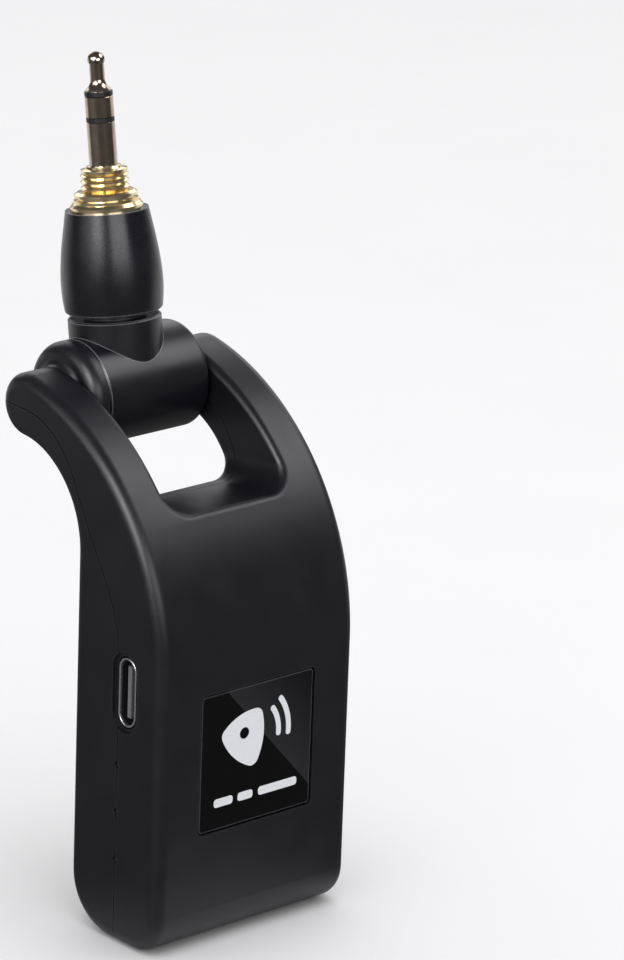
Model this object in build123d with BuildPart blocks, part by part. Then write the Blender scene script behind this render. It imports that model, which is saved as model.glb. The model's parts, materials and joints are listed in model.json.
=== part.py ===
from build123d import *
from math import atan2, cos, degrees, hypot, radians, sin
import os

# Wireless guitar transmitter: a curved two-shell case whose two arms carry a folding 3.5 mm plug.
# Millimetres. The origin is the centre of the flat bottom face, +Z points up the case and -Y out of the
# badge face, so the charging socket is on the -X side and the power switch on the +X side.

# ---- Case ----
body_width = 31.0
front_y = -6.2
rear_y = 10.7
crown_start_z = 35.5
hollow_start_z = 48.1
front_foot_radius = 5.0
rear_foot_radius = 7.0
side_round = 1.6
wall = 1.8
cavity_top_z = 47.5

# ---- Hinge ----
hinge_y = 21.7
hinge_z = 63.7
arm_tip_radius = 4.0
knuckle_radius = 6.75
knuckle_left = 6.85
hinge_side_gap = 0.15
boss_shoulder = 7.6
boss_skirt_end = 10.5
boss_round = 1.7
skirt_sink = 0.15
pin_radius = 2.0
pin_inner_end = 2.8
pin_left_end = 11.4
pin_right_end = 13.0
pin_cable_bore_radius = 1.15
bush_clearance = 0.05
bush_radius = 2.6
washer_radius = 2.85
washer_thickness = 0.7

# ---- Window between the arms ----
window_half_width = 9.3
window_sill_z = 54.1
window_slope = 6.0
window_corner_radius = 3.0
window_round = 1.0

# ---- Seam between the shells ----
seam_y = 1.75
seam_straight_z = 36.0
seam_waypoint = (8.5, 52.5)
seam_gap = 0.12

# ---- Plug, as heights along the plug axis from the hinge axis ----
plug_lean = 8.4
neck_radius = 5.8
neck_top = 8.7
spigot_radius = 3.9
spigot_top = 11.5
barrel_bottom = 9.35
barrel_top = 22.0
collar_shank_radius = 2.6
plug_radius = 1.75
plug_shank_radius = 1.5
plug_base = 27.4
rear_insulator = 32.8
ring_start = 33.25
ring_end = 35.95
tip_start = 36.5
plug_end = 41.4
cable_radius = 0.9
cable_bend = 2.5
cable_leaves_channel = 0.34
knuckle_chamfer = 0.3
knuckle_end_round = 0.8
neck_bore_radius = 2.6
neck_chamfer = 0.2
barrel_foot_radius = 6.0
barrel_radius = 6.3
barrel_mouth_radius = 5.15
barrel_bore_radius = 3.9
barrel_lid = 2.2
thread_radius = 3.0
thread_root_radius = 2.62
thread_pitch = 0.75
thread_turns = 3
tip_flare_radius = 1.55
tip_waist_radius = 0.92
tip_head_radius = 1.08
tag_circle_radius = 1.5
tag_length = 2.5
tag_width = 1.3
tag_thickness = 0.35

# ---- Badge ----
badge_size = 18.0
badge_corner = 0.6
badge_bevel = 0.2
badge_z = 24.0
badge_recess = 1.1
badge_thickness = 0.8
adhesive_size = 17.0
adhesive_thickness = 0.15
badge_clearance = 0.1
print_thickness = 0.04
wave_width = 0.75

# ---- Board and what sits on it ----
board_front = 2.2
board_thickness = 1.0
board_half_width = 13.2
board_bottom_z = 8.8
board_top_z = 46.0
usb_y = 0.57
usb_z = 33.0
usb_width = 8.94
usb_height = 3.26
usb_length = 7.3
usb_mouth_x = 15.2
usb_plate = 0.3
usb_clearance = 0.18
usb_surround = 0.75
surround_depth = 0.35
tongue_width = 6.7
tongue_thickness = 0.7
tongue_root = 1.5
tongue_set_back = 0.35
contact_count = 12
contact_pitch = 0.5
contact_width = 0.26
contact_length = 3.6
contact_set_back = 2.2
contact_thickness = 0.05
led_y = 1.8
led_heights = (23.4, 17.3, 10.9)
led_hole_radius = 0.42
led_x = -12.65
light_set_back = 0.3
switch_y = 0.45
switch_z = 37.5
switch_travel = 2.0
switch_slot_height = 4.8
switch_slot_width = 1.7
switch_recess_height = 7.0
switch_recess_width = 3.2
switch_recess_depth = 0.5
knob_top_x = 15.3
knob_groove_pitch = 0.6
knob_groove_width = 0.24
knob_groove_depth = 0.2
stem_depth = 0.9
stem_width = 1.3
stem_height = 1.6

# ---- Battery ----
battery_half_width = 10.0
battery_bottom_z = 9.0
battery_top_z = 41.0
battery_front = 3.9
battery_rear = 8.4
lead_radius = 0.35
lead_rise = 2.2

# ---- Fasteners ----
screw_radius = 0.8
screw_head_radius = 1.5
screw_head_height = 1.0
screw_length = 8.0
low_screws = ((-10.5, 6.4), (10.5, 6.4))
low_seat_y = 7.2
high_screws = ((-5.5, 50.3), (5.5, 50.3))
high_seat_y = 9.2
screw_rows = ((low_screws, low_seat_y), (high_screws, high_seat_y))
board_screw_places = ((11.0, 43.8), (-11.0, 26.0), (0.0, 10.8))
board_screw_radius = 0.6
board_screw_length = 4.0
board_screw_head = 0.6
board_screw_head_radius = 1.2
screw_clearance = 0.1
cross_length = 1.7
cross_width = 0.4
cross_depth = 0.5
low_post_radius = 2.2
board_post_radius = 1.5

half_width = body_width / 2
far = 60.0
os.makedirs("parts", exist_ok=True)

# Frames: the plug's own axis, its lengthwise section, and the hinge's section seen from the front.
plug_plane = Plane(
    origin=(0, hinge_y, hinge_z),
    x_dir=(1, 0, 0),
    z_dir=(0, sin(radians(plug_lean)), cos(radians(plug_lean))),
)
plug_section = Plane(origin=plug_plane.origin, x_dir=(1, 0, 0), z_dir=plug_plane.y_dir * -1)
plug_axis = Axis(plug_plane.origin, plug_plane.z_dir)
hinge_section = Plane(origin=(0, hinge_y, hinge_z), x_dir=(1, 0, 0), z_dir=(0, -1, 0))
hinge_axis = Axis((0, hinge_y, hinge_z), (1, 0, 0))
left_face = Plane(origin=(-half_width, 0, 0), x_dir=(0, -1, 0), z_dir=(-1, 0, 0))
right_face = Plane(origin=(half_width, 0, 0), x_dir=(0, 1, 0), z_dir=(1, 0, 0))
board_rear = board_front + board_thickness
inner_half_width = half_width - wall
knuckle_right = window_half_width - hinge_side_gap
left_boss_face = knuckle_left + hinge_side_gap
# Each side of the hinge: its direction along X, the face beside the knuckle and the pin's outer end.
hinge_sides = ((-1, left_boss_face, pin_left_end), (1, window_half_width, pin_right_end))


def front_facing(y):
    """A plane across the case at depth y, seen from the front: local x is X and local y is Z."""
    return Plane(origin=(0, y, 0), x_dir=(1, 0, 0), z_dir=(0, -1, 0))


def outline(plane, points):
    """A closed straight-sided face on a plane."""
    with BuildSketch(plane) as profile:
        with BuildLine():
            Polyline(*points, close=True)
        make_face()
    return profile.sketch


def discs(plane, places, radius):
    """Equal round faces at several places on a plane."""
    with BuildSketch(plane) as profile:
        with Locations(*places):
            Circle(radius)
    return profile.sketch


def upright_slot(plane, place, height, width):
    """A round-ended slot standing along the plane's local y."""
    with BuildSketch(plane) as profile:
        with Locations(place):
            SlotOverall(height, width, rotation=90)
    return profile.sketch


def on_board(x, z, width, height, thickness, ease=0.0):
    """A rectangular component on the board's front face, with its outer edges eased."""
    with BuildPart() as component:
        with BuildSketch(front_facing(board_front)):
            with Locations((x, z)):
                Rectangle(width, height)
        extrude(amount=thickness)
        if ease:
            chamfer(component.faces().sort_by(Axis.Y)[0].edges(), ease)
    return component.part


def ring_sector(radius, width, start, end):
    """Part of a ring of the given mean radius, between two angles in degrees."""
    with BuildSketch() as sector:
        with BuildLine():
            inner = CenterArc((0, 0), radius - width / 2, start, end - start)
            outer = CenterArc((0, 0), radius + width / 2, start, end - start)
            Line(inner @ 0, outer @ 0)
            Line(inner @ 1, outer @ 1)
        make_face()
        fillet(sector.vertices(), 0.45 * width)
    return sector.sketch


def hinge_ring(inner_radius, outer_radius, start_x, end_x):
    """The section of a ring about the hinge axis between two places along X, for a hinge_section sketch."""
    left, right = sorted((start_x, end_x))
    corners = [(left, inner_radius), (right, inner_radius), (right, outer_radius), (left, outer_radius)]
    return outline(Plane.XY, corners)


def front_of_seam(plane):
    """Everything in front of the seam, on the side view."""
    with BuildSketch(plane) as region:
        with BuildLine():
            Line((seam_y, -far), (seam_y, seam_straight_z))
            Spline((seam_y, seam_straight_z), seam_waypoint, (hinge_y, hinge_z), tangents=((0, 1), (1, 0)))
            Polyline((hinge_y, hinge_z), (far, hinge_z), (far, 2 * far), (-far, 2 * far))
            Polyline((-far, 2 * far), (-far, -far), (seam_y, -far))
        make_face()
    return region.sketch


def on_outline(edge):
    """Whether an edge of the window lies on the case's outside: on its crown, its hollow or an arm's tip."""
    middle = edge @ 0.5
    arm_tip = ((hinge_y, hinge_z), arm_tip_radius)
    rounds = ((crown_centre, crown_radius), (hollow_centre, hollow_radius), arm_tip)
    misses = [abs(hypot(middle.Y - centre[0], middle.Z - centre[1]) - radius) for centre, radius in rounds]
    return min(misses) < 0.01 and abs(middle.X) < window_half_width + 0.1


# ---- Case form ----
# Front: a flat face that bends over the top along an arc tangent to the arm tips' round.
reach = hinge_y - front_y
rise = hinge_z - crown_start_z
crown_radius = (reach**2 + rise**2 - arm_tip_radius**2) / (2 * (reach - arm_tip_radius))
crown_centre = (front_y + crown_radius, crown_start_z)
crown_end = degrees(atan2(rise, hinge_y - crown_centre[0]))

# Rear: a flat face that bends back along a hollow arc, tangent to the same round from outside.
rear_reach = hinge_y - rear_y
rear_rise = hinge_z - hollow_start_z
hollow_radius = (rear_reach**2 + rear_rise**2 - arm_tip_radius**2) / (2 * (rear_reach + arm_tip_radius))
hollow_centre = (rear_y + hollow_radius, hollow_start_z)
hollow_end = degrees(atan2(rear_rise, hinge_y - hollow_centre[0]))

with BuildSketch() as side_view:
    with BuildLine():
        Line((front_y, 0), (front_y, crown_start_z))
        crown = CenterArc(crown_centre, crown_radius, 180, crown_end - 180)
        hollow = CenterArc(hollow_centre, hollow_radius, 180, hollow_end - 180)
        ThreePointArc(crown @ 1, (hinge_y + arm_tip_radius, hinge_z), hollow @ 1)
        Line((rear_y, hollow_start_z), (rear_y, 0))
        Line((rear_y, 0), (front_y, 0))
    make_face()
    feet = side_view.vertices().group_by(Axis.Y)[0].sort_by(Axis.X)
    fillet(feet[0], front_foot_radius)
    fillet(side_view.vertices().group_by(Axis.Y)[0].sort_by(Axis.X)[-1], rear_foot_radius)

with BuildPart() as cavity:
    with BuildSketch(Plane.YZ):
        add(side_view.sketch)
        offset(amount=-wall)
        with Locations((0, cavity_top_z - far)):
            Rectangle(2 * far, 2 * far, mode=Mode.INTERSECT)
    extrude(amount=inner_half_width, both=True)

# The cable lies in a channel that follows the seam through the -X arm, half of it in each shell.
cable_x = -12.6
channel_radius = 1.1
chamber_radius = 1.6
with BuildLine(Plane.YZ) as seam_bend:
    Spline((seam_y, seam_straight_z), seam_waypoint, (hinge_y, hinge_z), tangents=((0, 1), (1, 0)))
channel_path = seam_bend.line.moved(Location((cable_x, 0, 0)))
channel_start = Plane(origin=(cable_x, seam_y, seam_straight_z), x_dir=(1, 0, 0), z_dir=(0, 0, 1))
with BuildPart() as channel:
    with BuildSketch(channel_start):
        Circle(channel_radius)
    sweep(path=channel_path)
    # A wider chamber at the pin's end gives the cable room to turn into the channel.
    with BuildSketch(Plane(origin=(-inner_half_width, hinge_y, hinge_z), z_dir=(1, 0, 0))):
        Circle(chamber_radius)
    extrude(amount=inner_half_width - pin_left_end)

with BuildPart() as case_body:
    with BuildSketch(Plane.YZ):
        add(side_view.sketch)
    extrude(amount=half_width, both=True)
    fillet(case_body.faces().filter_by(Axis.X).edges(), side_round)
    # Window: right through from front to back, and open between the arm tips.
    window_plane = Plane(origin=(0, 0, window_sill_z), x_dir=(1, 0, 0), z_dir=(0, -1, 0))
    with BuildSketch(window_plane.rotated((-window_slope, 0, 0))):
        with Locations((0, far / 2)):
            RectangleRounded(2 * window_half_width, far, window_corner_radius)
    extrude(amount=far, both=True, mode=Mode.SUBTRACT)
    fillet(case_body.edges().filter_by(on_outline), window_round)
    # Hinge boss: on the -X arm, inward to the knuckle. Its round shoulder falls to the arm's tip in a skirt.
    with BuildSketch(hinge_section):
        shoulder = (-boss_shoulder, knuckle_radius)
        brow = (-boss_shoulder - boss_round, knuckle_radius - boss_round)
        skirt = (-boss_skirt_end, arm_tip_radius - skirt_sink)
        with BuildLine():
            Polyline(skirt, (-boss_skirt_end, 0), (-left_boss_face, 0))
            Polyline((-left_boss_face, 0), (-left_boss_face, knuckle_radius), shoulder)
            TangentArc(shoulder, brow, tangent=(-1, 0))
            TangentArc(skirt, brow, tangent=(1, 0))
        make_face()
    revolve(axis=hinge_axis)

    # Inside: the cavity, the cable channel, and the hinge's bush and washer seats.
    add(cavity.part, mode=Mode.SUBTRACT)
    add(channel.part, mode=Mode.SUBTRACT)
    with BuildSketch(hinge_section):
        for side, face, pin_end in hinge_sides:
            add(hinge_ring(0, bush_radius, side * face, side * (pin_end + bush_clearance)))
            add(hinge_ring(0, washer_radius + bush_clearance, side * face, side * (face + washer_thickness)))
    revolve(axis=hinge_axis, mode=Mode.SUBTRACT)
    # Front: the badge recess.
    with BuildSketch(front_facing(front_y)):
        with Locations((0, badge_z)):
            badge_opening = badge_size + 2 * badge_clearance
            RectangleRounded(badge_opening, badge_opening, badge_corner + badge_clearance)
    extrude(amount=-badge_recess, mode=Mode.SUBTRACT)
    # -X side: the charging socket's opening in its shallow surround, and three light holes.
    usb_place = (-usb_y, usb_z)
    extrude(
        upright_slot(left_face, usb_place, usb_width + 2 * usb_clearance, usb_height + 2 * usb_clearance),
        amount=-2 * wall,
        mode=Mode.SUBTRACT,
    )
    extrude(
        upright_slot(left_face, usb_place, usb_width + 2 * usb_surround, usb_height + 2 * usb_surround),
        amount=-surround_depth,
        mode=Mode.SUBTRACT,
    )
    extrude(
        discs(left_face, [(-led_y, z) for z in led_heights], led_hole_radius),
        amount=-2 * wall,
        mode=Mode.SUBTRACT,
    )
    # +X side: the switch's slot in its shallow thumb recess.
    with BuildSketch(right_face):
        with Locations((switch_y, switch_z)):
            Rectangle(switch_slot_width, switch_slot_height)
    extrude(amount=-2 * wall, mode=Mode.SUBTRACT)
    extrude(
        upright_slot(right_face, (switch_y, switch_z), switch_recess_height, switch_recess_width),
        amount=-switch_recess_depth,
        mode=Mode.SUBTRACT,
    )

# ---- Shells ----
post_root = 0.2
with BuildPart() as front_shell:
    add(case_body.part)
    extrude(front_of_seam(Plane.YZ.offset(-far)), amount=2 * far, mode=Mode.INTERSECT)
    # Posts from the front wall: two meet the low screws at the seam, three carry the board.
    low_post = seam_y - front_y - wall + post_root
    extrude(discs(front_facing(seam_y), low_screws, low_post_radius), amount=low_post)
    board_post = board_front - front_y - wall + post_root
    extrude(discs(front_facing(board_front), board_screw_places, board_post_radius), amount=board_post)
    thread_depth = screw_length + screw_clearance
    for places, seat_y in screw_rows:
        pilots = discs(front_facing(seat_y), places, screw_radius)
        extrude(pilots, amount=thread_depth, mode=Mode.SUBTRACT)
    extrude(
        discs(front_facing(board_front), board_screw_places, board_screw_radius),
        amount=board_screw_length,
        mode=Mode.SUBTRACT,
    )
front_shell.part.label = "front_shell"
export_step(front_shell.part, "parts/front_shell.step")

with BuildPart() as rear_shell:
    add(case_body.part)
    shifted_seam = Plane(origin=(-far, seam_gap, -seam_gap), x_dir=(0, 1, 0), z_dir=(1, 0, 0))
    extrude(front_of_seam(shifted_seam), amount=2 * far, mode=Mode.SUBTRACT)
    rear_post_start = rear_y - wall + post_root
    extrude(
        discs(front_facing(rear_post_start), low_screws, low_post_radius),
        amount=rear_post_start - seam_y - seam_gap,
    )
    # Each screw has a clearance hole and a deep seat for its head, open at the rear face.
    for places, seat_y in screw_rows:
        shaft_hole = discs(front_facing(seat_y), places, screw_radius + screw_clearance)
        extrude(shaft_hole, amount=far, mode=Mode.SUBTRACT)
        head_seat = discs(front_facing(seat_y), places, screw_head_radius + screw_clearance)
        extrude(head_seat, amount=-far, mode=Mode.SUBTRACT)
rear_shell.part.label = "rear_shell"
export_step(rear_shell.part, "parts/rear_shell.step")

with BuildPart() as shell_screws:
    for places, seat_y in screw_rows:
        head_top = front_facing(seat_y + screw_head_height)
        extrude(discs(front_facing(seat_y), places, screw_radius), amount=screw_length)
        extrude(discs(head_top, places, screw_head_radius), amount=screw_head_height)
        with BuildSketch(head_top):
            with Locations(*places):
                Rectangle(cross_length, cross_width)
                Rectangle(cross_width, cross_length)
        extrude(amount=cross_depth, mode=Mode.SUBTRACT)
shell_screws.part.label = "shell_screws"
export_step(shell_screws.part, "parts/shell_screws.step")

# ---- Badge ----
badge_floor = front_y + badge_recess
badge_back = badge_floor - adhesive_thickness
badge_front = badge_back - badge_thickness

with BuildPart() as badge_adhesive:
    with BuildSketch(front_facing(badge_floor)):
        with Locations((0, badge_z)):
            RectangleRounded(adhesive_size, adhesive_size, badge_corner)
    extrude(amount=adhesive_thickness)
badge_adhesive.part.label = "badge_adhesive"
export_step(badge_adhesive.part, "parts/badge_adhesive.step")

with BuildPart() as badge_panel:
    with BuildSketch(front_facing(badge_back)):
        with Locations((0, badge_z)):
            RectangleRounded(badge_size, badge_size, badge_corner)
    extrude(amount=badge_thickness)
    chamfer(badge_panel.faces().sort_by(Axis.Y)[0].edges(), badge_bevel)
badge_panel.part.label = "badge_panel"
export_step(badge_panel.part, "parts/badge_panel.step")

# The print: a plectrum giving off two arcs, over a row of plain bars. It is drawn about the badge's centre.
plectrum_place = Location((-1.7, 2.0, 0), 20)
with BuildSketch() as plectrum:
    with BuildLine():
        ThreePointArc((-3.4, 2.6), (0, 3.5), (3.4, 2.6))
        ThreePointArc((3.4, 2.6), (2.5, -1.2), (0, -4.2))
        ThreePointArc((0, -4.2), (-2.5, -1.2), (-3.4, 2.6))
    make_face()
    fillet(plectrum.vertices(), 1.1)
    with Locations((0, 0.9)):
        Circle(0.75, mode=Mode.SUBTRACT)

with BuildPart() as badge_print:
    with BuildSketch(Plane(origin=(0, badge_front, badge_z), x_dir=(1, 0, 0), z_dir=(0, -1, 0))):
        with Locations(plectrum_place):
            add(plectrum.sketch)
            for wave_radius in (5.2, 6.8):
                add(ring_sector(wave_radius, wave_width, -28, 20))
        for bar_x, bar_width in ((-5.1, 3.0), (-1.6, 2.4), (3.6, 6.2)):
            with Locations((bar_x, -5.4)):
                RectangleRounded(bar_width, 1.1, 0.4)
    extrude(amount=print_thickness)
badge_print.part.label = "badge_print"
export_step(badge_print.part, "parts/badge_print.step")

# ---- Board ----
with BuildPart() as main_board:
    with BuildSketch(front_facing(board_rear)):
        with Locations((0, (board_bottom_z + board_top_z) / 2)):
            RectangleRounded(2 * board_half_width, board_top_z - board_bottom_z, 1.0)
        with Locations(*board_screw_places):
            Circle(board_screw_radius + screw_clearance, mode=Mode.SUBTRACT)
    extrude(amount=board_thickness)
main_board.part.label = "main_board"
export_step(main_board.part, "parts/main_board.step")

with BuildPart() as board_screws:
    extrude(
        discs(front_facing(board_rear), board_screw_places, board_screw_radius),
        amount=board_screw_length,
    )
    extrude(
        discs(front_facing(board_rear + board_screw_head), board_screw_places, board_screw_head_radius),
        amount=board_screw_head,
    )
board_screws.part.label = "board_screws"
export_step(board_screws.part, "parts/board_screws.step")

# ---- Charging socket ----
usb_mouth = Plane(origin=(-usb_mouth_x, 0, 0), x_dir=(0, -1, 0), z_dir=(-1, 0, 0))
usb_inside_height = usb_height - 2 * usb_plate
with BuildPart() as usb_shell:
    extrude(upright_slot(usb_mouth, usb_place, usb_width, usb_height), amount=-usb_length)
    extrude(
        upright_slot(usb_mouth, usb_place, usb_width - 2 * usb_plate, usb_inside_height),
        amount=usb_plate - usb_length,
        mode=Mode.SUBTRACT,
    )
    fillet(usb_shell.faces().sort_by(Axis.X)[0].edges(), usb_plate / 3)
usb_shell.part.label = "usb_shell"
export_step(usb_shell.part, "parts/usb_shell.step")

tongue_tip_x = -usb_mouth_x + tongue_set_back
tongue_root_x = -usb_mouth_x + usb_length - usb_plate
with BuildPart() as usb_tongue:
    with Locations(((tongue_tip_x + tongue_root_x) / 2, usb_y, usb_z)):
        Box(tongue_root_x - tongue_tip_x, tongue_thickness, tongue_width)
    chamfer(usb_tongue.faces().sort_by(Axis.X)[0].edges(), 0.12)
    with Locations((tongue_root_x - tongue_root / 2, usb_y, usb_z)):
        Box(tongue_root, usb_inside_height, usb_width - usb_height)
usb_tongue.part.label = "usb_tongue"
export_step(usb_tongue.part, "parts/usb_tongue.step")

with BuildPart() as usb_contacts:
    for side in (-1, 1):
        contact_y = usb_y + side * (tongue_thickness + contact_thickness) / 2
        middle = (contact_count - 1) / 2
        heights = [usb_z + (contact - middle) * contact_pitch for contact in range(contact_count)]
        with Locations(*[(tongue_tip_x + contact_set_back, contact_y, height) for height in heights]):
            Box(contact_length, contact_thickness, contact_width)
usb_contacts.part.label = "usb_contacts"
export_step(usb_contacts.part, "parts/usb_contacts.step")

# ---- Lights ----
with BuildPart() as status_leds:
    for height in led_heights:
        thickness = 2 * (board_front - led_y)
        add(on_board(led_x, height, width=1.0, height=1.6, thickness=thickness, ease=0.1))
status_leds.part.label = "status_leds"
export_step(status_leds.part, "parts/status_leds.step")

guide_back_x = -board_half_width - 0.05
guide_front_x = -inner_half_width + 0.05
with BuildPart() as light_guide:
    guide_middle_z = (led_heights[0] + led_heights[-1]) / 2
    with Locations(((guide_back_x + guide_front_x) / 2, led_y, guide_middle_z)):
        Box(guide_back_x - guide_front_x, 1.2, led_heights[0] - led_heights[-1] + 2.4)
    with BuildSketch(Plane(origin=(guide_back_x, 0, 0), x_dir=(0, -1, 0), z_dir=(-1, 0, 0))):
        with Locations(*[(-led_y, z) for z in led_heights]):
            Circle(led_hole_radius - 0.04)
    extrude(amount=half_width - light_set_back + guide_back_x)
light_guide.part.label = "light_guide"
export_step(light_guide.part, "parts/light_guide.step")

# ---- Power switch ----
switch_body_height = 8.6
switch_body_width = 2.8
with BuildPart() as switch_body:
    switch_body_x = board_half_width - switch_body_width / 2
    switch_depth = 2 * (board_front - switch_y)
    add(on_board(switch_body_x, switch_z, switch_body_width, switch_body_height, switch_depth))
    with Locations((board_half_width, switch_y, switch_z)):
        Box(2 * stem_depth + 0.1, stem_width + 0.2, stem_height + switch_travel + 0.2, mode=Mode.SUBTRACT)
switch_body.part.label = "switch_body"
export_step(switch_body.part, "parts/switch_body.step")

# The knob rests at the lower end of its travel.
knob_z = switch_z - switch_travel / 2
knob_height = switch_slot_height - switch_travel - 0.2
stem_end_x = board_half_width - stem_depth
cap_start_x = half_width - wall - 0.1
with BuildPart() as switch_knob:
    with Locations(((stem_end_x + cap_start_x) / 2, switch_y, knob_z)):
        Box(cap_start_x - stem_end_x, stem_width, stem_height)
    with Locations(((cap_start_x + knob_top_x) / 2, switch_y, knob_z)):
        Box(knob_top_x - cap_start_x, switch_slot_width - 0.2, knob_height)
    fillet(switch_knob.faces().sort_by(Axis.X)[-1].edges(), 0.2)
    with Locations(*[(knob_top_x, switch_y, knob_z + groove * knob_groove_pitch) for groove in (-1, 0, 1)]):
        Box(2 * knob_groove_depth, switch_slot_width, knob_groove_width, mode=Mode.SUBTRACT)
switch_knob.part.label = "switch_knob"
export_step(switch_knob.part, "parts/switch_knob.step")

# ---- Radio, sound and charging parts on the board's front face ----
can_size = 12.0
can_height = 1.9
can_plate = 0.2
can_x = 4.0
can_z = 20.5

with BuildPart() as rf_shield_can:
    add(on_board(can_x, can_z, can_size, can_size, can_height, ease=0.15))
    can_inside = can_size - 2 * can_plate
    add(on_board(can_x, can_z, can_inside, can_inside, can_height - can_plate), mode=Mode.SUBTRACT)
rf_shield_can.part.label = "rf_shield_can"
export_step(rf_shield_can.part, "parts/rf_shield_can.step")

with BuildPart() as rf_chip:
    add(on_board(can_x, can_z, width=5.0, height=5.0, thickness=0.9, ease=0.08))
rf_chip.part.label = "rf_chip"
export_step(rf_chip.part, "parts/rf_chip.step")

with BuildPart() as chip_antenna:
    add(on_board(x=7.6, z=10.6, width=7.0, height=2.0, thickness=1.2, ease=0.1))
chip_antenna.part.label = "chip_antenna"
export_step(chip_antenna.part, "parts/chip_antenna.step")

with BuildPart() as audio_codec:
    add(on_board(x=-3.5, z=39.5, width=4.0, height=4.0, thickness=0.9, ease=0.08))
audio_codec.part.label = "audio_codec"
export_step(audio_codec.part, "parts/audio_codec.step")

with BuildPart() as charger_chip:
    add(on_board(x=-6.4, z=25.4, width=2.9, height=2.8, thickness=1.1, ease=0.1))
charger_chip.part.label = "charger_chip"
export_step(charger_chip.part, "parts/charger_chip.step")

with BuildPart() as power_inductor:
    add(on_board(x=-5.6, z=20.6, width=3.0, height=3.0, thickness=1.5, ease=0.3))
power_inductor.part.label = "power_inductor"
export_step(power_inductor.part, "parts/power_inductor.step")

with BuildPart() as crystal:
    add(on_board(x=-5.6, z=16.0, width=3.2, height=2.5, thickness=0.7, ease=0.1))
crystal.part.label = "crystal"
export_step(crystal.part, "parts/crystal.step")

# Three groups of twelve small components, each group in four columns and three rows.
passive_groups = ((4.0, 32.0), (4.0, 42.0), (-8.0, 11.4))
passive_length = 1.0
passive_width = 0.5
passive_thickness = 0.5
with BuildPart() as board_passives:
    with BuildSketch(front_facing(board_front)):
        for group in passive_groups:
            with Locations(group):
                with GridLocations(1.6, 1.4, 4, 3):
                    Rectangle(passive_length, passive_width)
    extrude(amount=passive_thickness)
board_passives.part.label = "board_passives"
export_step(board_passives.part, "parts/board_passives.step")

# ---- Battery ----
battery_middle_z = (battery_bottom_z + battery_top_z) / 2
battery_height = battery_top_z - battery_bottom_z
with BuildPart() as battery_cell:
    with Locations((0, (battery_front + battery_rear) / 2, battery_middle_z)):
        Box(2 * battery_half_width, battery_rear - battery_front, battery_height)
    fillet(battery_cell.edges().filter_by(Axis.Z), 1.2)
battery_cell.part.label = "battery_cell"
export_step(battery_cell.part, "parts/battery_cell.step")

with BuildPart() as battery_tape:
    with BuildSketch(front_facing(rear_y - wall)):
        with Locations((0, battery_middle_z)):
            Rectangle(2 * battery_half_width - 4, battery_height - 8)
    extrude(amount=rear_y - wall - battery_rear)
battery_tape.part.label = "battery_tape"
export_step(battery_tape.part, "parts/battery_tape.step")

with BuildPart() as battery_foam_pad:
    with BuildSketch(front_facing(battery_front)):
        with Locations((0, battery_middle_z + 1)):
            Rectangle(2 * battery_half_width - 5, battery_height - 8)
    extrude(amount=battery_front - board_rear)
battery_foam_pad.part.label = "battery_foam_pad"
export_step(battery_foam_pad.part, "parts/battery_foam_pad.step")

protection_y = 6.0
protection_thickness = 0.8
protection_height = 2.5
protection_z = battery_top_z + protection_height / 2
protection_width = 18.0
with BuildPart() as protection_board:
    with Locations((0, protection_y, protection_z)):
        Box(protection_width, protection_thickness, protection_height)
protection_board.part.label = "protection_board"
export_step(protection_board.part, "parts/protection_board.step")


def battery_lead(x):
    """A wire that leaves the protection board's face, curves up and lands on the main board's rear."""
    wire_start = (x, protection_y - protection_thickness / 2, protection_z)
    with BuildPart() as lead:
        with BuildLine():
            Spline(wire_start, (x, board_rear, protection_z + lead_rise), tangents=((0, -1, 0), (0, -1, 0)))
        with BuildSketch(Plane(origin=wire_start, z_dir=(0, -1, 0))):
            Circle(lead_radius)
        sweep()
    return lead.part


with BuildPart() as battery_lead_positive:
    add(battery_lead(4.0))
battery_lead_positive.part.label = "battery_lead_positive"
export_step(battery_lead_positive.part, "parts/battery_lead_positive.step")

with BuildPart() as battery_lead_negative:
    add(battery_lead(6.5))
battery_lead_negative.part.label = "battery_lead_negative"
export_step(battery_lead_negative.part, "parts/battery_lead_negative.step")

# ---- Hinge ----
with BuildPart() as hinge_bushes:
    with BuildSketch(hinge_section):
        for side, face, pin_end in hinge_sides:
            start = side * (face + washer_thickness)
            add(hinge_ring(pin_radius + bush_clearance, bush_radius, start, side * pin_end))
    revolve(axis=hinge_axis)
hinge_bushes.part.label = "hinge_bushes"
export_step(hinge_bushes.part, "parts/hinge_bushes.step")

with BuildPart() as hinge_washers:
    with BuildSketch(hinge_section):
        for side, face, pin_end in hinge_sides:
            end = side * (face + washer_thickness)
            add(hinge_ring(pin_radius + bush_clearance, washer_radius, side * face, end))
    revolve(axis=hinge_axis)
hinge_washers.part.label = "hinge_washers"
export_step(hinge_washers.part, "parts/hinge_washers.step")

with BuildPart() as hinge_pin_hollow:
    with BuildSketch(hinge_section):
        add(hinge_ring(pin_cable_bore_radius, pin_radius, -pin_left_end, -pin_inner_end))
    revolve(axis=hinge_axis)
hinge_pin_hollow.part.label = "hinge_pin_hollow"
export_step(hinge_pin_hollow.part, "parts/hinge_pin_hollow.step")

with BuildPart() as hinge_pin_solid:
    with BuildSketch(hinge_section):
        add(hinge_ring(0, pin_radius, pin_inner_end, pin_right_end))
    revolve(axis=hinge_axis)
hinge_pin_solid.part.label = "hinge_pin_solid"
export_step(hinge_pin_solid.part, "parts/hinge_pin_solid.step")

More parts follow.
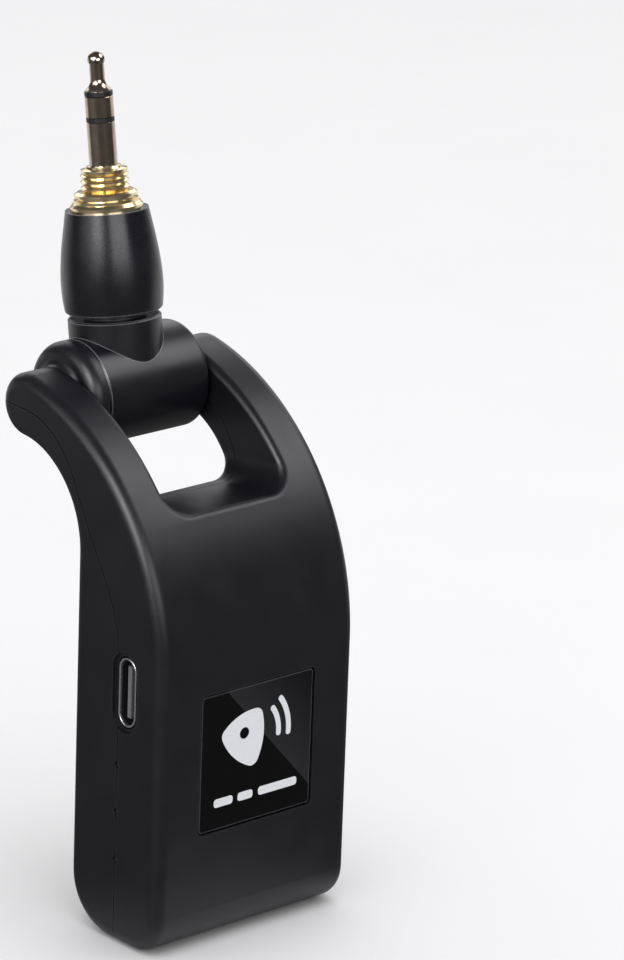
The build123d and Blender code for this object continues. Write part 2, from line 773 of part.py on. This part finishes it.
with BuildPart() as knuckle:
    with BuildSketch(Plane(origin=(-knuckle_left, hinge_y, hinge_z), x_dir=(0, 1, 0), z_dir=(1, 0, 0))):
        Circle(knuckle_radius)
    extrude(amount=knuckle_left + knuckle_right)
    chamfer(knuckle.edges().sort_by(Axis.X)[0], knuckle_chamfer)
    fillet(knuckle.faces().sort_by(Axis.X)[-1].edges(), knuckle_end_round)
    # Neck and the spigot that carries the barrel, then the cable's way down to the hinge axis.
    with BuildSketch(plug_plane):
        Circle(neck_radius)
    extrude(amount=neck_top)
    chamfer(knuckle.faces().sort_by(plug_axis)[-1].edges(), neck_chamfer)
    with BuildSketch(plug_plane):
        Circle(spigot_radius)
    extrude(amount=spigot_top)
    with BuildSketch(plug_plane):
        Circle(neck_bore_radius)
    extrude(amount=2 * spigot_top, mode=Mode.SUBTRACT)
    with BuildSketch(hinge_section):
        add(hinge_ring(0, pin_radius, -left_boss_face, window_half_width))
    revolve(axis=hinge_axis, mode=Mode.SUBTRACT)
knuckle.part.label = "knuckle"
export_step(knuckle.part, "parts/knuckle.step")

# ---- Plug ----
# Heights run up the plug axis, and every outline is (radius, height) turned about it.
lid_under = barrel_top - barrel_lid
with BuildPart() as plug_barrel:
    with BuildSketch(plug_section):
        with BuildLine():
            Line((barrel_bore_radius, barrel_bottom), (barrel_foot_radius, barrel_bottom))
            Spline(
                (barrel_foot_radius, barrel_bottom),
                (barrel_radius, barrel_bottom + 2.9),
                (barrel_radius - 0.35, barrel_top - 4.8),
                (barrel_mouth_radius, barrel_top),
            )
            Line((barrel_mouth_radius, barrel_top), (collar_shank_radius, barrel_top))
            Line((collar_shank_radius, barrel_top), (collar_shank_radius, lid_under))
            Line((collar_shank_radius, lid_under), (barrel_bore_radius, lid_under))
            Line((barrel_bore_radius, lid_under), (barrel_bore_radius, barrel_bottom))
        make_face()
    revolve(axis=plug_axis)
    chamfer(plug_barrel.edges().filter_by(GeomType.CIRCLE).sort_by(plug_axis)[-1], 0.2)
    chamfer(plug_barrel.faces().sort_by(plug_axis)[0].outer_wire().edges(), 0.2)
plug_barrel.part.label = "plug_barrel"
export_step(plug_barrel.part, "parts/plug_barrel.step")

# The collar: a shank in the barrel, a flange with a groove round it, and an M6 x 0.75 thread for an adapter.
flange_radius = 4.5
rim_radius = 4.0
groove_radius = 3.5
disc_radius = 2.9
thread_start = barrel_top + 2.3
thread_end = thread_start + thread_turns * thread_pitch
with BuildPart() as plug_collar:
    ridges = [
        point
        for turn in range(thread_turns)
        for point in (
            (thread_root_radius, thread_start + turn * thread_pitch),
            (thread_radius, thread_start + (turn + 0.45) * thread_pitch),
            (thread_radius, thread_start + (turn + 0.6) * thread_pitch),
        )
    ]
    profile = [
        (plug_shank_radius, lid_under - 1),
        (collar_shank_radius, lid_under - 1),
        (collar_shank_radius, barrel_top),
        (flange_radius, barrel_top),
        (flange_radius, barrel_top + 0.5),
        (flange_radius - 0.3, barrel_top + 0.85),
        (rim_radius, barrel_top + 0.9),
        (rim_radius, barrel_top + 1.25),
        (groove_radius, barrel_top + 1.3),
        (groove_radius, barrel_top + 1.6),
        (rim_radius - 0.1, barrel_top + 1.65),
        (rim_radius - 0.1, barrel_top + 2.0),
        (rim_radius - 0.5, barrel_top + 2.25),
        *ridges,
        (thread_root_radius, thread_end),
        (disc_radius, thread_end + 0.05),
        (disc_radius, thread_end + 0.4),
        (plug_radius + 0.5, thread_end + 0.5),
        (plug_radius + 0.35, plug_base - 0.05),
        (plug_radius, plug_base),
        (plug_shank_radius, plug_base),
    ]
    revolve(outline(plug_section, profile), axis=plug_axis)
plug_collar.part.label = "plug_collar"
export_step(plug_collar.part, "parts/plug_collar.step")

core_radius = 1.2
rod_radius = 0.55
core_bottom = lid_under - 2
with BuildPart() as plug_sleeve:
    profile = [
        (core_radius, core_bottom + 0.5),
        (plug_shank_radius, core_bottom + 0.5),
        (plug_shank_radius, plug_base),
        (plug_radius, plug_base),
        (plug_radius, rear_insulator - 0.1),
        (plug_radius - 0.1, rear_insulator),
        (core_radius, rear_insulator),
    ]
    revolve(outline(plug_section, profile), axis=plug_axis)
plug_sleeve.part.label = "plug_sleeve"
export_step(plug_sleeve.part, "parts/plug_sleeve.step")

with BuildPart() as plug_insulator:
    profile = [
        (rod_radius, core_bottom),
        (core_radius, core_bottom),
        (core_radius, rear_insulator),
        (plug_radius, rear_insulator),
        (plug_radius, ring_start),
        (core_radius - 0.2, ring_start),
        (core_radius - 0.2, ring_end),
        (plug_radius, ring_end),
        (plug_radius, tip_start),
        (rod_radius, tip_start),
    ]
    revolve(outline(plug_section, profile), axis=plug_axis)
plug_insulator.part.label = "plug_insulator"
export_step(plug_insulator.part, "parts/plug_insulator.step")

with BuildPart() as plug_ring:
    profile = [
        (core_radius - 0.2, ring_start),
        (plug_radius - 0.1, ring_start),
        (plug_radius, ring_start + 0.1),
        (plug_radius, ring_end - 0.15),
        (plug_radius - 0.12, ring_end),
        (core_radius - 0.2, ring_end),
    ]
    revolve(outline(plug_section, profile), axis=plug_axis)
plug_ring.part.label = "plug_ring"
export_step(plug_ring.part, "parts/plug_ring.step")

# The tip flares at its foot, narrows to a waist and ends in a rounded head on its connecting rod.
with BuildPart() as plug_tip:
    with BuildSketch(plug_section):
        with BuildLine():
            Polyline((0, plug_end), (0, core_bottom - 1), (rod_radius, core_bottom - 1))
            Polyline((rod_radius, core_bottom - 1), (rod_radius, tip_start), (tip_flare_radius, tip_start))
            Line((tip_flare_radius, tip_start), (tip_flare_radius, tip_start + 0.25))
            ThreePointArc(
                (tip_flare_radius, tip_start + 0.25),
                (tip_waist_radius + 0.2, tip_start + 0.7),
                (tip_waist_radius, tip_start + 1.4),
            )
            Polyline(
                (tip_waist_radius, tip_start + 1.4),
                (tip_waist_radius, plug_end - 1.5),
                (tip_head_radius, plug_end - 1.25),
                (tip_head_radius, plug_end - tip_head_radius),
            )
            CenterArc((0, plug_end - tip_head_radius), tip_head_radius, 0, 90)
        make_face()
    revolve(axis=plug_axis)
plug_tip.part.label = "plug_tip"
export_step(plug_tip.part, "parts/plug_tip.step")

# Three solder tags stand below the plug's rear end, inside the barrel.
with BuildPart() as solder_tags:
    with BuildSketch(plug_plane.offset(core_bottom - 0.9)):
        with PolarLocations(tag_circle_radius, 3, start_angle=30):
            Rectangle(tag_thickness, tag_width)
    extrude(amount=-tag_length)
solder_tags.part.label = "solder_tags"
export_step(solder_tags.part, "parts/solder_tags.step")

# ---- Cable ----
# In the plug it comes down the neck, turns onto the hinge axis and leaves through the hollow pin.
plug_cable_top = core_bottom - tag_length - 2
with BuildPart() as plug_cable:
    with BuildLine(plug_section):
        Line((0, plug_cable_top), (0, cable_bend))
        Line((0, cable_bend), (-cable_bend, 0))
        Line((-cable_bend, 0), (-pin_left_end - 0.1, 0))
    with BuildSketch(plug_plane.offset(plug_cable_top)):
        Circle(cable_radius)
    sweep(transition=Transition.ROUND)
plug_cable.part.label = "plug_cable"
export_step(plug_cable.part, "parts/plug_cable.step")

# In the case it follows the channel down the arm and ends on the board's rear face.
with BuildPart() as signal_cable:
    arm_run = channel_path.edge().trim(cable_leaves_channel, 1)
    board_landing = (-9.6, board_rear + cable_radius + 0.2, board_top_z - 2.6)
    with BuildLine():
        add(arm_run)
        Spline(board_landing, arm_run @ 0, tangents=((0.3, 0.2, 1), arm_run % 0))
    with BuildSketch(Plane(origin=arm_run @ 1, z_dir=arm_run % 1)):
        Circle(cable_radius)
    sweep()
signal_cable.part.label = "signal_cable"
export_step(signal_cable.part, "parts/signal_cable.step")
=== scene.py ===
import json
import math

import bpy
from mathutils import Matrix, Vector


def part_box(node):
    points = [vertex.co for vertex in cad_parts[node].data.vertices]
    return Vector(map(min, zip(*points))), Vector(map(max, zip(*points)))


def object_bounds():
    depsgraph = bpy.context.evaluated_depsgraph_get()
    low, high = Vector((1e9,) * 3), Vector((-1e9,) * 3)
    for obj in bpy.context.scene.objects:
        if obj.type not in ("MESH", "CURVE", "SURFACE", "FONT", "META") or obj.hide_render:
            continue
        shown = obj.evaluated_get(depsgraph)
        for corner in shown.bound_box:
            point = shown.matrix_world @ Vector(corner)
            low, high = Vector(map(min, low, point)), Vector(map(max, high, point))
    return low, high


# Looks of the wireless guitar transmitter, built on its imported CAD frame.
# Metres, +Z up, -Y out of the badge.
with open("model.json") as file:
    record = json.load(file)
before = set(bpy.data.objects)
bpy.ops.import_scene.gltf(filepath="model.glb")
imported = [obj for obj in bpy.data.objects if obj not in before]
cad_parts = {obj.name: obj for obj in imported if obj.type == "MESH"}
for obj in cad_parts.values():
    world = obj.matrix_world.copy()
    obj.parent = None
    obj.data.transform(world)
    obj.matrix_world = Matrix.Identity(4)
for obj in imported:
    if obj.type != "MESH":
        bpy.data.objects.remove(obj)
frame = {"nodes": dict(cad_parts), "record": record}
cad_low, cad_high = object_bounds()
cad_centre = (cad_low + cad_high) / 2
nodes = frame["nodes"]
MM = 0.001

# ---- Viewing and light ----
VIEW_AZIMUTH = -41.93
VIEW_ELEVATION = 18.83
VIEW_ROLL = 2.08
VIEW_DISTANCE = 636.4 * MM
VIEW_LENS = 194.6
OBJECT_LEFT_OF_CENTRE = 17.7 * MM
OBJECT_BELOW_CENTRE = 1.5 * MM
LIGHT_DISTANCE = 0.9
LIGHT_POWER_PER_AREA = 4.0
LIGHT_TINT = (0.98, 0.96, 1.0)
ROOM_LIGHT = 0.80
ROOM_REFLECTION = 0.09

# ---- Floor: reflections find it bright near the foot and far behind the object, and elsewhere see a painted shade ----
FLOOR_WIDTH = 8.0
FLOOR_GAP = 0.02 * MM
FLOOR_IN_SHADE = 0.10
NEAR_FLOOR = 14 * MM
FAR_FLOOR = 27 * MM
BACK_FLOOR_START = 160 * MM
BACK_FLOOR_FULL = 240 * MM
BACK_FLOOR_SHARES = (0.15, 0.45)

# ---- Surfaces: grain, edge tones for wear and painted highlights, depths of the socket's painted shade, and the badge's painted sheen in shares of its size ----
GRAIN_PER_METRE = 9000
SATIN_EDGE = (0.020, 0.020, 0.022)
# Painted highlight tone for the thin bright lines along the knuckle's and barrel's edges.
PAINTED_EDGE_HIGHLIGHT = (0.290, 0.285, 0.310)
# Depths inside the socket's mouth where its painted shade starts and where it is full.
RIM_DEPTH = 0.10 * MM
DARK_DEPTH = 0.35 * MM
SHEEN_START_X = 0.22
SHEEN_END_Z = 0.13
SHEEN_REACH = 0.55


# ---- Node helpers ----
class Shader:
    """A node material under construction: short calls for the nodes that the finishes share."""

    def __init__(self, name):
        self.material = bpy.data.materials.new(name)
        self.material.use_nodes = True
        self.nodes = self.material.node_tree.nodes
        self.links = self.material.node_tree.links
        self.bsdf = self.nodes["Principled BSDF"]
        self.place = self.node("ShaderNodeTexCoord").outputs["Object"]

    def node(self, kind, **settings):
        made = self.nodes.new(kind)
        for key, value in settings.items():
            setattr(made, key, value)
        return made

    def put(self, socket, value):
        """Sets an input to a number or colour, or links an output to it."""
        if isinstance(value, bpy.types.NodeSocket):
            self.links.new(value, socket)
        else:
            socket.default_value = value

    def noise(self, scale, detail, roughness=0.5, stretch=(1, 1, 1)):
        """Fractal noise, with its scale given as features per metre."""
        mapping = self.node("ShaderNodeMapping")
        mapping.inputs["Scale"].default_value = stretch
        self.put(mapping.inputs["Vector"], self.place)
        noise = self.node("ShaderNodeTexNoise")
        noise.inputs["Scale"].default_value = scale
        noise.inputs["Detail"].default_value = detail
        noise.inputs["Roughness"].default_value = roughness
        self.put(noise.inputs["Vector"], mapping.outputs["Vector"])
        return noise.outputs["Fac"]

    def remap(self, value, low, high, out_low, out_high):
        """Maps a value's range onto another, held at both ends."""
        mapped = self.node("ShaderNodeMapRange")
        self.put(mapped.inputs["Value"], value)
        mapped.inputs["From Min"].default_value = low
        mapped.inputs["From Max"].default_value = high
        mapped.inputs["To Min"].default_value = out_low
        mapped.inputs["To Max"].default_value = out_high
        return mapped.outputs["Result"]

    def math(self, operation, first, second):
        made = self.node("ShaderNodeMath", operation=operation)
        self.put(made.inputs[0], first)
        self.put(made.inputs[1], second)
        return made.outputs[0]

    def blend(self, factor, first, second):
        """A colour part of the way from first to second."""
        mix = self.node("ShaderNodeMix", data_type="RGBA")
        colour_inputs = [socket for socket in mix.inputs if socket.type == "RGBA"]
        self.put(mix.inputs["Factor"], factor)
        for socket, colour in zip(colour_inputs, (first, second)):
            self.put(socket, colour if isinstance(colour, bpy.types.NodeSocket) else (*colour, 1.0))
        return next(socket for socket in mix.outputs if socket.type == "RGBA")

    def edges(self, radius):
        """A mask that is bright along sharp outer and inner edges."""
        bevel = self.node("ShaderNodeBevel", samples=4)
        bevel.inputs["Radius"].default_value = radius
        geometry = self.node("ShaderNodeNewGeometry")
        turned = self.node("ShaderNodeVectorMath", operation="DOT_PRODUCT")
        self.put(turned.inputs[0], bevel.outputs["Normal"])
        self.put(turned.inputs[1], geometry.outputs["Normal"])
        return self.remap(turned.outputs["Value"], 0.99, 0.90, 0.0, 1.0)

    def bump(self, height, distance, strength):
        """Bump from a height value; distance is the height in metres."""
        bump = self.node("ShaderNodeBump")
        bump.inputs["Strength"].default_value = strength
        bump.inputs["Distance"].default_value = distance
        self.put(bump.inputs["Height"], height)
        return bump.outputs["Normal"]

    def finish(self, **inputs):
        """Sets the surface's inputs, named as in the shader with underscores for spaces."""
        for name, value in inputs.items():
            socket = self.bsdf.inputs[name.replace("_", " ")]
            if isinstance(value, tuple) and socket.type == "RGBA":
                value = (*value, 1.0)
            self.put(socket, value)
        return self.material


def moulded_plastic(name, colour, roughness, grain=0.9, wear_and_highlight_tone=SATIN_EDGE, edge_width=0.35 * MM):
    """Satin moulded plastic: fine spark-eroded grain, slow gloss variation and lighter, polished edges,
    which with a bright edge tone become painted highlight lines.
    """
    shader = Shader(name)
    grain_height = shader.noise(GRAIN_PER_METRE, 3.0, 0.6)
    cloud = shader.noise(180, 3.0)
    edge = shader.edges(edge_width)
    tint = tuple(channel * 1.25 for channel in colour)
    shade = shader.blend(shader.remap(cloud, 0.35, 0.65, 0.0, 1.0), colour, tint)
    # Edges take the given tone: lighter worn edges by default, painted highlight lines with a bright tone.
    shade = shader.blend(edge, shade, wear_and_highlight_tone)
    base_rough = shader.remap(cloud, 0.3, 0.7, roughness - 0.03, roughness + 0.04)
    fine_rough = shader.remap(grain_height, 0.3, 0.7, -0.04, 0.04)
    rough = shader.math("ADD", base_rough, fine_rough)
    rough = shader.math("SUBTRACT", rough, shader.math("MULTIPLY", edge, 0.08))
    normal = shader.bump(grain_height, 0.006 * MM, grain)
    return shader.finish(Base_Color=shade, Roughness=rough, Normal=normal, Specular_IOR_Level=0.5)


def metal(name, colour, dark, roughness, brush=(1, 1, 1), scratch=0.3):
    """Plated metal: turning marks, tarnish in patches and bright worn edges."""
    shader = Shader(name)
    marks = shader.noise(14000, 2.0, 0.6, stretch=brush)
    patches = shader.noise(900, 4.0, 0.65)
    edge = shader.edges(0.08 * MM)
    shade = shader.blend(shader.remap(patches, 0.35, 0.75, 0.0, 0.8), colour, dark)
    bright = tuple(min(1.0, channel * 1.15) for channel in colour)
    shade = shader.blend(shader.math("MULTIPLY", edge, 0.6), shade, bright)
    patch_rough = shader.remap(patches, 0.3, 0.7, roughness * 0.8, roughness * 1.5)
    rough = shader.math("ADD", patch_rough, shader.remap(marks, 0.3, 0.7, -0.03, 0.05))
    normal = shader.bump(marks, 0.002 * MM, scratch)
    return shader.finish(Base_Color=shade, Metallic=1.0, Roughness=rough, Normal=normal)


def socket_metal(name, node):
    """Drawn steel of the socket's shell: a bright rim, and painted shade on the inside, darker a little way
    in.
    """
    shader = Shader(name)
    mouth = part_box(node)[0].x
    depth = shader.node("ShaderNodeSeparateXYZ")
    shader.put(depth.inputs[0], shader.place)
    # Painted shade: the colour darkens from the rim to DARK_DEPTH inside the mouth.
    painted_inner_shade = shader.remap(depth.outputs["X"], mouth + RIM_DEPTH, mouth + DARK_DEPTH, 0.0, 1.0)
    scuff = shader.noise(7000, 3.0, 0.6, stretch=(1, 4, 1))
    rim = shader.blend(scuff, (0.80, 0.80, 0.81), (0.62, 0.62, 0.64))
    shade = shader.blend(painted_inner_shade, rim, (0.030, 0.030, 0.032))
    return shader.finish(
        Base_Color=shade,
        Metallic=shader.remap(painted_inner_shade, 0.0, 1.0, 1.0, 0.4),
        Roughness=shader.remap(scuff, 0.3, 0.7, 0.22, 0.34),
        Normal=shader.bump(scuff, 0.002 * MM, 0.4),
    )


def polished_panel(name, colour, node):
    """Polished black acrylic with smears, dust, a painted highlight along its edges and a painted sheen: a
    reflection painted as lighter colour above a diagonal.
    """
    shader = Shader(name)
    low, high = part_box(node)
    width, height = high.x - low.x, high.z - low.z
    # The painted sheen's lower line, from top to foot, as (x, z) places on the badge's face.
    top = Vector((low.x + SHEEN_START_X * width, high.z))
    foot = Vector((high.x, low.z + SHEEN_END_Z * height))
    across = Vector((top.y - foot.y, foot.x - top.x)).normalized()
    offset = shader.node("ShaderNodeVectorMath", operation="SUBTRACT")
    shader.put(offset.inputs[0], shader.place)
    offset.inputs[1].default_value = (top.x, 0.0, top.y)
    above = shader.node("ShaderNodeVectorMath", operation="DOT_PRODUCT")
    shader.put(above.inputs[0], offset.outputs["Vector"])
    above.inputs[1].default_value = (across.x, 0.0, across.y)
    fade = shader.remap(above.outputs["Value"], 0.0, SHEEN_REACH * width, 1.0, 0.1)
    painted_sheen = shader.math("MULTIPLY", fade, shader.math("GREATER_THAN", above.outputs["Value"], 0.0))
    # Painted sheen: a reflection painted as lighter colour above the diagonal, fading away from it.
    shade = shader.blend(painted_sheen, colour, (0.021, 0.021, 0.024))
    smear = shader.noise(260, 5.0, 0.6, stretch=(1, 1, 0.4))
    dust = shader.noise(24000, 1.0)
    shade = shader.blend(shader.remap(dust, 0.72, 0.80, 0.0, 0.2), shade, (0.06, 0.06, 0.065))
    # Painted highlight: the badge's edges are lightened to stand for light caught on them.
    shade = shader.blend(shader.edges(0.22 * MM), shade, (0.14, 0.14, 0.15))
    return shader.finish(
        Base_Color=shade,
        Roughness=shader.remap(smear, 0.35, 0.75, 0.04, 0.12),
        Specular_IOR_Level=0.28,
        Normal=shader.bump(smear, 0.004 * MM, 0.25),
    )


def ink(name, colour):
    """Screen-printed ink: matt, a little uneven in cover."""
    shader = Shader(name)
    cover = shader.noise(9000, 3.0, 0.6)
    thin = tuple(channel * 0.86 for channel in colour)
    shade = shader.blend(shader.remap(cover, 0.35, 0.6, 0.0, 1.0), thin, colour)
    return shader.finish(Base_Color=shade, Roughness=0.5, Normal=shader.bump(cover, 0.003 * MM, 0.5))


def plain_part(name, colour, roughness, speckle=0.15, scale=6000, transmission=0.0):
    """Small parts: base colour with speckle, mottled roughness and a light bump."""
    shader = Shader(name)
    fleck = shader.noise(scale, 3.0)
    dark = tuple(channel * (1 - speckle) for channel in colour)
    light = tuple(min(1.0, channel * (1 + speckle)) for channel in colour)
    shade = shader.blend(shader.remap(fleck, 0.35, 0.65, 0.0, 1.0), dark, light)
    rough = shader.remap(fleck, 0.3, 0.7, roughness * 0.85, roughness * 1.15)
    return shader.finish(
        Base_Color=shade,
        Roughness=rough,
        Transmission_Weight=transmission,
        Normal=shader.bump(fleck, 0.003 * MM, 0.4),
    )


# ---- Finishes, by the record's material slots ----
# How often a metal's marks repeat along X, Y and Z against the plain noise.
TURNED = (1, 1, 6)
BRUSHED = (1, 5, 1)
CASE_BLACK = (0.0054, 0.0049, 0.0084)
BARREL_BLACK = (0.0052, 0.0047, 0.0080)
SWITCH_BLACK = (0.0050, 0.0050, 0.0056)

finishes = {
    "case": moulded_plastic("case_plastic", CASE_BLACK, 0.38),
    # The knuckle and barrel carry painted highlight lines along their edges.
    "case_gloss": moulded_plastic("knuckle_plastic", CASE_BLACK, 0.33, 0.6, PAINTED_EDGE_HIGHLIGHT, 0.2 * MM),
    "barrel": moulded_plastic("barrel_plastic", BARREL_BLACK, 0.28, 0.5, PAINTED_EDGE_HIGHLIGHT, 0.2 * MM),
    "black_plastic": moulded_plastic("black_plastic", SWITCH_BLACK, 0.45),
    "badge": polished_panel("badge_acrylic", (0.0010, 0.0010, 0.0014), "badge_panel"),
    "print": ink("white_ink", (0.80, 0.82, 0.85)),
    "gold": metal("gold_plate", (0.99, 0.84, 0.54), (0.80, 0.59, 0.29), 0.16, TURNED),
    "plug_metal": metal("plug_plate", (0.56, 0.47, 0.37), (0.34, 0.27, 0.20), 0.11, TURNED),
    "bright_steel": metal("bright_steel", (0.78, 0.78, 0.79), (0.58, 0.58, 0.60), 0.22, BRUSHED),
    "steel": metal("steel", (0.56, 0.56, 0.57), (0.38, 0.38, 0.39), 0.30),
    "foil": metal("pouch_foil", (0.72, 0.73, 0.75), (0.60, 0.61, 0.63), 0.35, scratch=0.8),
    "board": plain_part("solder_mask", (0.012, 0.075, 0.036), 0.30, speckle=0.25),
    "chip": plain_part("chip_epoxy", (0.020, 0.020, 0.023), 0.50, speckle=0.3),
    "ceramic": plain_part("ceramic", (0.62, 0.55, 0.44), 0.50),
    "ferrite": plain_part("ferrite", (0.10, 0.10, 0.11), 0.60, speckle=0.3),
    "led": plain_part("led_resin", (0.75, 0.80, 0.65), 0.25, transmission=0.4),
    "clear": plain_part("light_guide", (0.035, 0.036, 0.040), 0.30),
    "tape": plain_part("tape", (0.70, 0.69, 0.64), 0.60),
    "foam": plain_part("foam", (0.06, 0.06, 0.065), 0.90, speckle=0.5, scale=3000),
    "bush": plain_part("acetal", (0.74, 0.72, 0.66), 0.40),
    "red_wire": plain_part("red_wire", (0.45, 0.02, 0.02), 0.40),
    "black_wire": plain_part("black_wire", (0.012, 0.012, 0.013), 0.45),
}

own_finishes = {
    "usb_shell": socket_metal("socket_steel", "usb_shell"),
    "usb_tongue": plain_part("tongue_resin", (0.16, 0.16, 0.17), 0.40),
    "usb_contacts": metal("contact_gold", (0.30, 0.24, 0.15), (0.16, 0.12, 0.07), 0.30),
}

for part in frame["record"]["subparts"]:
    mesh = nodes[part["node"]].data
    mesh.materials.clear()
    mesh.materials.append(own_finishes.get(part["node"], finishes[part["material_slot"]]))


# ---- Studio ----
def floor_paper():
    """Pale paper; reflections find it bright only by the object's foot and far behind it, and see a painted
    shade elsewhere.
    """
    shader = Shader("floor_paper")
    mottle = shader.noise(30, 4.0)
    pale = shader.blend(mottle, (0.88, 0.88, 0.885), (0.91, 0.91, 0.915))
    flat = shader.node("ShaderNodeVectorMath", operation="MULTIPLY")
    shader.put(flat.inputs[0], shader.place)
    flat.inputs[1].default_value = (1.0, 1.0, 0.0)
    reach = shader.node("ShaderNodeVectorMath", operation="LENGTH")
    shader.put(reach.inputs[0], flat.outputs["Vector"])
    near = shader.remap(reach.outputs["Value"], NEAR_FLOOR, FAR_FLOOR, 1.0, 0.0)
    # The share is 1 straight behind the object as the camera sees it, 0 beside it and -1 in front.
    turn = math.radians(VIEW_AZIMUTH)
    away = shader.node("ShaderNodeVectorMath", operation="DOT_PRODUCT")
    shader.put(away.inputs[0], shader.place)
    away.inputs[1].default_value = (-math.sin(turn), math.cos(turn), 0.0)
    share = shader.math("DIVIDE", away.outputs["Value"], reach.outputs["Value"])
    beyond = shader.remap(reach.outputs["Value"], BACK_FLOOR_START, BACK_FLOOR_FULL, 0.0, 1.0)
    behind = shader.math("MULTIPLY", shader.remap(share, *BACK_FLOOR_SHARES, 0.0, 1.0), beyond)
    bright = shader.math("MAXIMUM", near, behind)
    path = shader.node("ShaderNodeLightPath")
    # Painted shade: reflected rays see the floor darkened to FLOOR_IN_SHADE away from the foot and the far
    # back.
    painted_reflection_shade = shader.math("MULTIPLY", path.outputs["Is Glossy Ray"], shader.math("SUBTRACT", 1.0, bright))
    shade = shader.blend(painted_reflection_shade, pale, (FLOOR_IN_SHADE, FLOOR_IN_SHADE, FLOOR_IN_SHADE))
    tooth = shader.bump(shader.noise(2500, 2.0), 0.01 * MM, 0.2)
    return shader.finish(Base_Color=shade, Roughness=0.75, Normal=tooth)


def studio_floor():
    """A broad pale floor just clear of the foot."""
    half = FLOOR_WIDTH / 2
    corners = [(-half, -half, 0), (half, -half, 0), (half, half, 0), (-half, half, 0)]
    mesh = bpy.data.meshes.new("floor")
    mesh.from_pydata(corners, [], [(0, 1, 2, 3)])
    mesh.materials.append(floor_paper())
    floor = bpy.data.objects.new("floor", mesh)
    floor.location.z = cad_low.z - FLOOR_GAP
    bpy.context.scene.collection.objects.link(floor)


def direction(azimuth, elevation):
    """The direction at an azimuth from -Y towards +X and an elevation above the horizon, in degrees."""
    turn, rise = math.radians(azimuth), math.radians(elevation)
    return Vector((math.sin(turn) * math.cos(rise), -math.cos(turn) * math.cos(rise), math.sin(rise)))


def softbox(name, azimuth, elevation, width, height, radiance, lights_floor=False):
    """A panel light facing the object, seen in reflections only, or made to light matt surfaces only."""
    light = bpy.data.lights.new(name, "AREA")
    light.shape = "RECTANGLE"
    light.size, light.size_y = width, height
    light.energy = LIGHT_POWER_PER_AREA * width * height * radiance
    light.color = LIGHT_TINT
    lamp = bpy.data.objects.new(name, light)
    back = direction(azimuth, elevation)
    lamp.location = cad_centre + back * LIGHT_DISTANCE
    lamp.rotation_mode = "QUATERNION"
    lamp.rotation_quaternion = (-back).to_track_quat("-Z", "Y")
    lamp.visible_glossy = not lights_floor
    lamp.visible_diffuse = lights_floor
    bpy.context.scene.collection.objects.link(lamp)


def studio_world():
    """White surroundings that light the floor and read as a dim room in reflections."""
    world = bpy.data.worlds.new("studio")
    world.use_nodes = True
    world.cycles.sampling_method = "NONE"
    tree = world.node_tree
    path = tree.nodes.new("ShaderNodeLightPath")
    level = tree.nodes.new("ShaderNodeMapRange")
    level.inputs["To Min"].default_value = ROOM_LIGHT
    level.inputs["To Max"].default_value = ROOM_REFLECTION
    tree.links.new(path.outputs["Is Glossy Ray"], level.inputs["Value"])
    background = tree.nodes["Background"]
    background.inputs["Color"].default_value = (1.0, 1.0, 1.0, 1.0)
    tree.links.new(level.outputs["Result"], background.inputs["Strength"])
    bpy.context.scene.world = world


def photo_camera():
    """The camera stands where the picture was taken from, with the object left of the frame's middle."""
    back = direction(VIEW_AZIMUTH, VIEW_ELEVATION)
    facing = (-back).to_track_quat("-Z", "Y").to_matrix() @ Matrix.Rotation(math.radians(VIEW_ROLL), 3, "Z")
    right, up = facing.col[0], facing.col[1]
    camera = bpy.data.objects.new("camera", bpy.data.cameras.new("camera"))
    camera.data.lens = VIEW_LENS
    camera.data.sensor_fit = "AUTO"
    camera.data.clip_start = 0.01
    aim = cad_centre + right * OBJECT_LEFT_OF_CENTRE + up * OBJECT_BELOW_CENTRE
    camera.location = aim + back * VIEW_DISTANCE
    camera.rotation_mode = "QUATERNION"
    camera.rotation_quaternion = facing.to_quaternion()
    bpy.context.scene.collection.objects.link(camera)
    bpy.context.scene.camera = camera


studio_floor()
studio_world()
softbox("fill", 0, 80, 0.8, 0.8, 1.2, lights_floor=True)
softbox("left_strip", -70, 30, 0.42, 0.36, 10.0)
softbox("left_wash", -92, 21, 0.9, 0.36, 2.0)
softbox("front_wash", -14, 22, 0.68, 0.28, 3.6)
softbox("right_panel", 60, 45, 0.6, 0.5, 2.8)
softbox("rim", 138, 25, 1.4, 0.5, 1.3)
photo_camera()
bpy.context.scene.view_settings.view_transform = "Standard"
